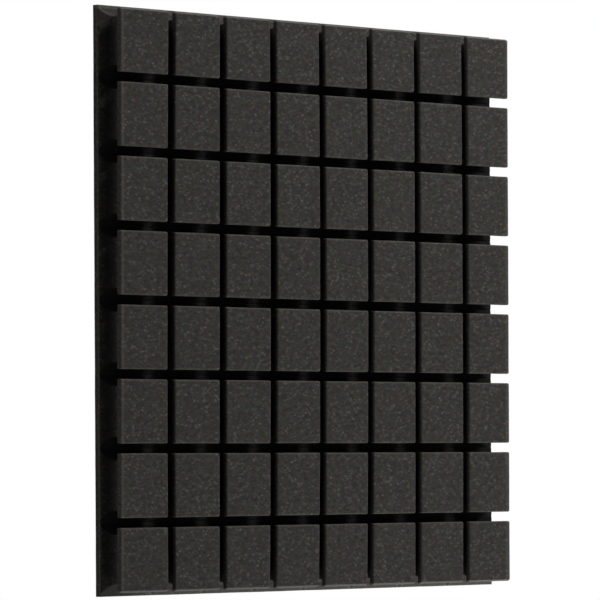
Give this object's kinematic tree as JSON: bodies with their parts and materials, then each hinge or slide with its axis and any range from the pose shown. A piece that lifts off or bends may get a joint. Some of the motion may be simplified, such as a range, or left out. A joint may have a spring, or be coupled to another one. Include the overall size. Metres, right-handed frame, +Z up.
{
  "type": "acoustic foam panel",
  "caption": "Square foam wall tile for sound absorption, its face cut into flat square blocks on waisted stems by keyhole grooves that run both ways.",
  "frame": {"origin": "centre of the flat back face, which is glued to the wall", "axes": "+Y into the wall, so the blocks face -Y; +Z up along the wall; +X to the right as seen from the front"},
  "size_m": [0.5, 0.03, 0.5],
  "materials": {
    "foam_sheet": "cut open-cell polyurethane foam, dark charcoal, fully matt",
    "foam_blocks": "cut open-cell polyurethane foam, dark charcoal with fine paler specks, fully matt"
  },
  "bodies": {
    "root": {"backing_sheet": "foam_sheet", "block_row_1": "foam_blocks", "block_row_2": "foam_blocks", "block_row_3": "foam_blocks", "block_row_4": "foam_blocks", "block_row_5": "foam_blocks", "block_row_6": "foam_blocks", "block_row_7": "foam_blocks", "block_row_8": "foam_blocks"}
  },
  "joints": []
}
